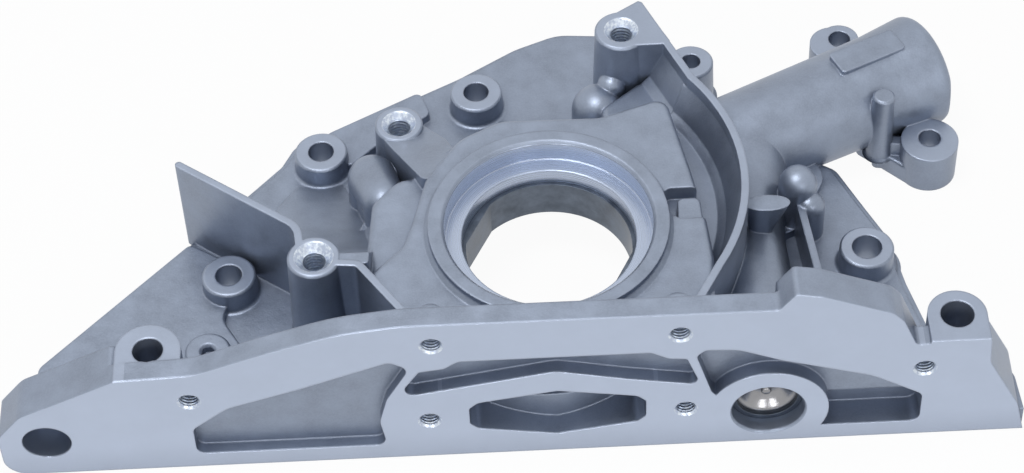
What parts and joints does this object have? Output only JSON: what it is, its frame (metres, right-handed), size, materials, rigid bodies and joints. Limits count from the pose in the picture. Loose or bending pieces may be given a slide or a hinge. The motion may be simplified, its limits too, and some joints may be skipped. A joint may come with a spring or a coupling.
{
  "type": "engine oil pump",
  "caption": "Crank-driven rotor oil pump in a die-cast front housing with seal bore, sump flange, relief valve and delivery duct.",
  "frame": {"origin": "on the crankshaft axis, in the plane of the face that bolts to the engine block", "axes": "+Z along the crankshaft axis to the front of the engine, +X to the delivery duct, -Y to the oil sump"},
  "size_m": [0.2898, 0.1553, 0.0653],
  "materials": {
    "cast_aluminium": "die-cast aluminium with machined faces",
    "cover_steel": "ground cover plate",
    "rotor_steel": "sintered steel, ground faces",
    "piston_steel": "ground steel",
    "spring_steel": "spring steel",
    "cap_steel": "turned steel",
    "circlip_steel": "phosphated spring steel",
    "ring_rubber": "moulded rubber",
    "screw_steel": "zinc plated",
    "dowel_steel": "ground steel"
  },
  "bodies": {
    "housing": {"pump_housing": "cast_aluminium", "rear_cover": "cover_steel", "relief_cap": "cap_steel", "relief_circlip": "circlip_steel", "duct_core_plug": "cap_steel", "delivery_port_ring": "ring_rubber", "relief_spring": "spring_steel", "cover_screw_1": "screw_steel", "cover_screw_2": "screw_steel", "cover_screw_3": "screw_steel", "cover_screw_4": "screw_steel", "cover_screw_5": "screw_steel", "cover_screw_6": "screw_steel", "cover_screw_7": "screw_steel", "cover_screw_8": "screw_steel", "cover_dowel_1": "dowel_steel", "cover_dowel_2": "dowel_steel"},
    "inner_rotor": {"inner_rotor": "rotor_steel"},
    "outer_rotor": {"outer_rotor": "rotor_steel"},
    "relief_piston": {"relief_piston": "piston_steel"}
  },
  "joints": [
    {"name": "outer_rotor_spin", "type": "hinge", "parent": "housing", "child": "outer_rotor", "pos_m": [-0.00242, 0.0014, 0.0238], "axis": [0, 0, 1], "continuous": true},
    {"name": "inner_rotor_spin", "type": "hinge", "parent": "housing", "child": "inner_rotor", "pos_m": [0, 0, 0.0238], "axis": [0, 0, 1], "continuous": true},
    {"name": "relief_piston_slide", "type": "slide", "parent": "housing", "child": "relief_piston", "axis": [0, -1, 0], "range_m": [0, 0.008], "stiffness_N_per_m": 4000, "deforming": ["relief_spring"]}
  ],
  "couplings": [
    {"joint": "inner_rotor_spin", "follows": "outer_rotor_spin", "ratio": 1.1111}
  ]
}
